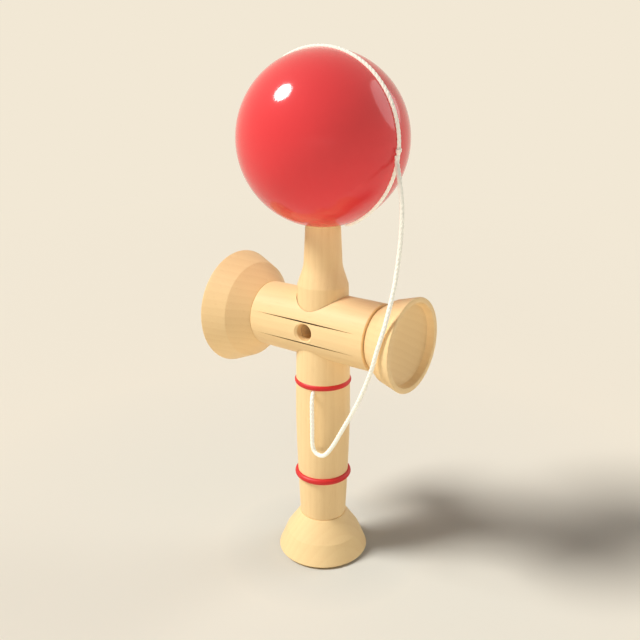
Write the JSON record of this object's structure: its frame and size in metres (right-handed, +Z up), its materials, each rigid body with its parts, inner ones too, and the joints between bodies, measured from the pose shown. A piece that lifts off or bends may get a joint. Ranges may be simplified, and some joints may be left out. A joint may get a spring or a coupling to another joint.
{
  "type": "cup and ball toy",
  "caption": "Turned wooden cup and ball toy: a spiked handle with a base cup and a crosspiece that carries a big and a small cup, and a red ball that lifts off the spike on its string.",
  "frame": {"origin": "centre of the base cup's rim, on the surface that the toy stands on", "axes": "+Z up along the handle to the ball, X along the crosspiece with the small cup at +X, -Y the front with the string hole"},
  "size_m": [0.0801, 0.06, 0.1932],
  "materials": {
    "wood": "pale turned hardwood under a thin satin varnish",
    "red_lacquer": "turned wood under a thick glossy red lacquer",
    "red_ring": "smooth red elastic ring, satin",
    "string": "ivory twisted cotton string"
  },
  "bodies": {
    "ken": {"handle": "wood", "base_cup": "wood", "barrel": "wood", "big_cup": "wood", "small_cup": "wood", "upper_ring": "red_ring", "lower_ring": "red_ring", "string_free": "string", "end_knot": "string"},
    "tether": {"string_loop": "string", "loop_knot": "string"},
    "ball": {"ball": "red_lacquer"}
  },
  "joints": [
    {"name": "ball_lift", "type": "slide", "parent": "ken", "child": "tether", "axis": [0, 0, 1], "range_m": [0, 0.045], "deforming": ["string_free"]},
    {"name": "ball_spin", "type": "hinge", "parent": "tether", "child": "ball", "pos_m": [0, 0, 0.162], "axis": [0, 0, 1], "continuous": true}
  ]
}
